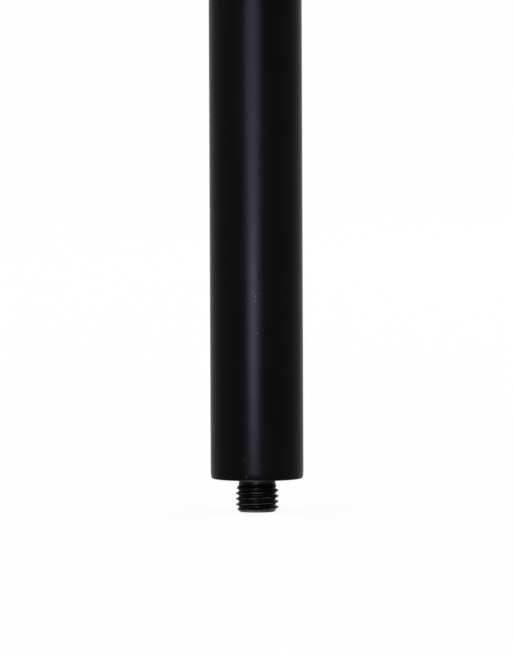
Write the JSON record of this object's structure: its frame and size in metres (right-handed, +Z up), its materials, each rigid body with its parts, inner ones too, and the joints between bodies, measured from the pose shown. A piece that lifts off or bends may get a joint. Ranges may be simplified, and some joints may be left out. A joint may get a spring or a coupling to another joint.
{
  "type": "speaker pole",
  "caption": "Telescopic black steel pole that screws into a subwoofer's pole socket by a short threaded stud and carries a speaker on its upper tube.",
  "frame": {"origin": "centre of the seat, the flat bottom face of the plug that the threaded stud comes out of", "axes": "+Z up along the pole, +X towards the clamp knob, -X towards the index plunger"},
  "size_m": [0.1502, 0.054, 0.8155],
  "materials": {
    "powder_coat": "satin black powder coat",
    "black_steel": "black-oxide turned steel, worn at the thread's crests",
    "cast_black": "black paint on a die casting, fine texture",
    "zinc_steel": "bright zinc plate",
    "dark_steel": "black zinc plate",
    "spring_steel": "bare spring steel",
    "brass": "turned brass",
    "knob_plastic": "moulded black plastic, fine grain",
    "cap_plastic": "moulded dark grey plastic",
    "trim_plastic": "moulded black plastic",
    "guide_plastic": "natural white acetal",
    "rubber": "black rubber"
  },
  "bodies": {
    "lower": {"lower_tube": "powder_coat", "threaded_plug": "black_steel", "end_buffer": "rubber", "clamp_collar": "cast_black", "collar_screws": "dark_steel", "guide_bush": "guide_plastic", "collar_ring": "trim_plastic", "screw_insert": "brass", "plunger_sleeve": "zinc_steel", "plunger_locknut": "zinc_steel", "plunger_end_cap": "zinc_steel", "plunger_spring": "spring_steel"},
    "upper": {"upper_tube": "powder_coat", "stop_ring": "spring_steel", "piston": "guide_plastic", "piston_seal": "rubber", "piston_rivets": "zinc_steel", "top_cap": "trim_plastic"},
    "pad": {"brake_pad": "brass"},
    "knob": {"clamp_screw": "zinc_steel", "clamp_knob": "knob_plastic", "knob_cap": "cap_plastic"},
    "plunger": {"plunger_pin": "zinc_steel", "plunger_knob": "knob_plastic"}
  },
  "joints": [
    {"name": "extension", "type": "slide", "parent": "lower", "child": "upper", "axis": [0, 0, 1], "range_m": [0, 0.5]},
    {"name": "pad_slide", "type": "slide", "parent": "lower", "child": "pad", "axis": [1, 0, 0], "range_m": [0, 0.00225]},
    {"name": "knob_turn", "type": "hinge", "parent": "pad", "child": "knob", "pos_m": [0.05, 0, 0.673], "axis": [1, 0, 0], "range_deg": [0, 540]},
    {"name": "plunger_pull", "type": "slide", "parent": "lower", "child": "plunger", "axis": [-1, 0, 0], "range_m": [-0.007, 0], "deforming": ["plunger_spring"]}
  ],
  "couplings": [
    {"joint": "pad_slide", "follows": "knob_turn", "m_per_rad": 0.00023873}
  ]
}
